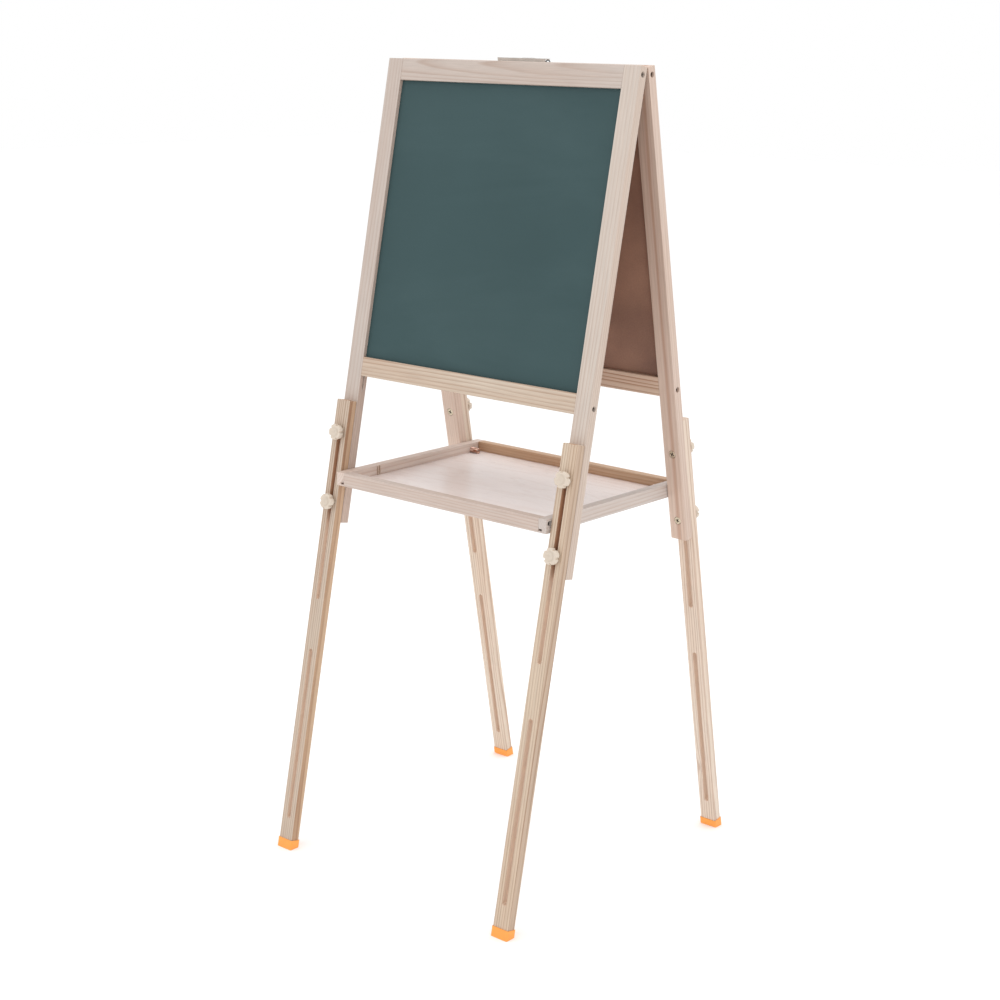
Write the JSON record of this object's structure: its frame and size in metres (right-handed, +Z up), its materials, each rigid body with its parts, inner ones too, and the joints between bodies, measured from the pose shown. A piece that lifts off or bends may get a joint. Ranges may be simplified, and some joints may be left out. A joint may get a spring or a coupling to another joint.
{
  "type": "kids easel",
  "caption": "Folding double-sided child's easel: a chalkboard and a whiteboard in hinged pine frames, slotted legs with clamping knobs, a shallow tray and a paper clip.",
  "frame": {"origin": "on the floor under the top hinge, in the middle of the width", "axes": "+Z up, the chalkboard faces -Y, the whiteboard and its clip +Y, +X to the right of someone who faces the chalkboard"},
  "size_m": [0.5024, 0.5716, 1.2817],
  "materials": {
    "frame_pine": "clear matt lacquer on planed pine",
    "leg_pine": "clear matt lacquer on planed pine",
    "plywood": "thin sanded plywood, clear lacquer",
    "chalkboard": "matt dark grey-green chalkboard paint on hardboard",
    "whiteboard": "smooth white drawing face outside, bare brown hardboard inside",
    "zinc_steel": "zinc plated",
    "bright_steel": "nickel plated sheet",
    "orange_plastic": "satin moulded plastic",
    "ivory_plastic": "satin moulded plastic",
    "black_rubber": "matt"
  },
  "bodies": {
    "front_frame": {"front_stile_left": "frame_pine", "front_stile_right": "frame_pine", "front_top_rail": "frame_pine", "front_bottom_rail": "frame_pine", "chalkboard": "chalkboard", "front_frame_screws": "zinc_steel", "hinge_left_front_leaf": "bright_steel", "hinge_right_front_leaf": "bright_steel", "hinge_left_pin": "bright_steel", "hinge_right_pin": "bright_steel", "front_hinge_screws": "bright_steel", "tray_pivot_bolts": "zinc_steel", "front_left_leg_bolts": "zinc_steel", "front_right_leg_bolts": "zinc_steel"},
    "rear_frame": {"rear_stile_left": "frame_pine", "rear_stile_right": "frame_pine", "rear_top_rail": "frame_pine", "rear_bottom_rail": "frame_pine", "whiteboard": "whiteboard", "rear_frame_screws": "zinc_steel", "hinge_left_rear_leaf": "bright_steel", "hinge_right_rear_leaf": "bright_steel", "rear_hinge_screws": "bright_steel", "rear_stile_inserts": "zinc_steel", "clip_base": "bright_steel", "clip_pin": "bright_steel", "clip_rivets": "bright_steel", "clip_spring": "bright_steel", "clip_end_loop": "black_rubber", "rear_left_leg_bolts": "zinc_steel", "rear_right_leg_bolts": "zinc_steel"},
    "clip_lever": {"clip_lever": "bright_steel"},
    "tray": {"tray_left_rail": "frame_pine", "tray_right_rail": "frame_pine", "tray_front_rail": "frame_pine", "tray_rear_rail": "frame_pine", "tray_floor": "plywood", "tray_screws": "zinc_steel", "tray_clip": "zinc_steel"},
    "tray_thumb_screw_left": {"tray_thumb_screw_left": "zinc_steel"},
    "tray_thumb_screw_right": {"tray_thumb_screw_right": "zinc_steel"},
    "front_leg_left": {"front_leg_left": "leg_pine", "front_foot_left": "orange_plastic"},
    "front_left_upper_knob": {"front_left_upper_knob": "ivory_plastic"},
    "front_left_lower_knob": {"front_left_lower_knob": "ivory_plastic"},
    "front_leg_right": {"front_leg_right": "leg_pine", "front_foot_right": "orange_plastic"},
    "front_right_upper_knob": {"front_right_upper_knob": "ivory_plastic"},
    "front_right_lower_knob": {"front_right_lower_knob": "ivory_plastic"},
    "rear_leg_left": {"rear_leg_left": "leg_pine", "rear_foot_left": "orange_plastic"},
    "rear_left_upper_knob": {"rear_left_upper_knob": "ivory_plastic"},
    "rear_left_lower_knob": {"rear_left_lower_knob": "ivory_plastic"},
    "rear_leg_right": {"rear_leg_right": "leg_pine", "rear_foot_right": "orange_plastic"},
    "rear_right_upper_knob": {"rear_right_upper_knob": "ivory_plastic"},
    "rear_right_lower_knob": {"rear_right_lower_knob": "ivory_plastic"}
  },
  "joints": [
    {"name": "frame_fold", "type": "hinge", "parent": "front_frame", "child": "rear_frame", "pos_m": [0, 0, 1.26714], "axis": [-1, 0, 0], "range_deg": [0, 22.3]},
    {"name": "tray_fold", "type": "hinge", "parent": "front_frame", "child": "tray", "pos_m": [0, -0.13883, 0.61447], "axis": [-1, 0, 0], "range_deg": [0, 78.85]},
    {"name": "clip_open", "type": "hinge", "parent": "rear_frame", "child": "clip_lever", "pos_m": [0, 0.02627, 1.26314], "axis": [1, 0, 0], "range_deg": [0, 18], "stiffness_Nm_per_rad": 0.3, "springref_deg": -28.65, "deforming": ["clip_spring"]},
    {"name": "tray_thumb_screw_left_turn", "type": "hinge", "parent": "tray", "child": "tray_thumb_screw_left", "pos_m": [-0.2031, 0.13883, 0.61447], "axis": [-1, 0, 0], "continuous": true},
    {"name": "tray_thumb_screw_right_turn", "type": "hinge", "parent": "tray", "child": "tray_thumb_screw_right", "pos_m": [0.2031, 0.13883, 0.61447], "axis": [1, 0, 0], "continuous": true},
    {"name": "front_leg_left_slide", "type": "slide", "parent": "front_frame", "child": "front_leg_left", "axis": [0, 0.1934, 0.9811], "range_m": [-0.007, 0.158]},
    {"name": "front_left_upper_knob_turn", "type": "hinge", "parent": "front_frame", "child": "front_left_upper_knob", "pos_m": [-0.2351, -0.14948, 0.68506], "axis": [0, -0.9811, 0.1934], "continuous": true},
    {"name": "front_left_lower_knob_turn", "type": "hinge", "parent": "front_frame", "child": "front_left_lower_knob", "pos_m": [-0.2351, -0.17153, 0.57321], "axis": [0, -0.9811, 0.1934], "continuous": true},
    {"name": "front_leg_right_slide", "type": "slide", "parent": "front_frame", "child": "front_leg_right", "axis": [0, 0.1934, 0.9811], "range_m": [-0.007, 0.158]},
    {"name": "front_right_upper_knob_turn", "type": "hinge", "parent": "front_frame", "child": "front_right_upper_knob", "pos_m": [0.2351, -0.14948, 0.68506], "axis": [0, -0.9811, 0.1934], "continuous": true},
    {"name": "front_right_lower_knob_turn", "type": "hinge", "parent": "front_frame", "child": "front_right_lower_knob", "pos_m": [0.2351, -0.17153, 0.57321], "axis": [0, -0.9811, 0.1934], "continuous": true},
    {"name": "rear_leg_left_slide", "type": "slide", "parent": "rear_frame", "child": "rear_leg_left", "axis": [0, -0.1934, 0.9811], "range_m": [-0.007, 0.158]},
    {"name": "rear_left_upper_knob_turn", "type": "hinge", "parent": "rear_frame", "child": "rear_left_upper_knob", "pos_m": [-0.2351, 0.14948, 0.68506], "axis": [0, 0.9811, 0.1934], "continuous": true},
    {"name": "rear_left_lower_knob_turn", "type": "hinge", "parent": "rear_frame", "child": "rear_left_lower_knob", "pos_m": [-0.2351, 0.17153, 0.57321], "axis": [0, 0.9811, 0.1934], "continuous": true},
    {"name": "rear_leg_right_slide", "type": "slide", "parent": "rear_frame", "child": "rear_leg_right", "axis": [0, -0.1934, 0.9811], "range_m": [-0.007, 0.158]},
    {"name": "rear_right_upper_knob_turn", "type": "hinge", "parent": "rear_frame", "child": "rear_right_upper_knob", "pos_m": [0.2351, 0.14948, 0.68506], "axis": [0, 0.9811, 0.1934], "continuous": true},
    {"name": "rear_right_lower_knob_turn", "type": "hinge", "parent": "rear_frame", "child": "rear_right_lower_knob", "pos_m": [0.2351, 0.17153, 0.57321], "axis": [0, 0.9811, 0.1934], "continuous": true}
  ]
}
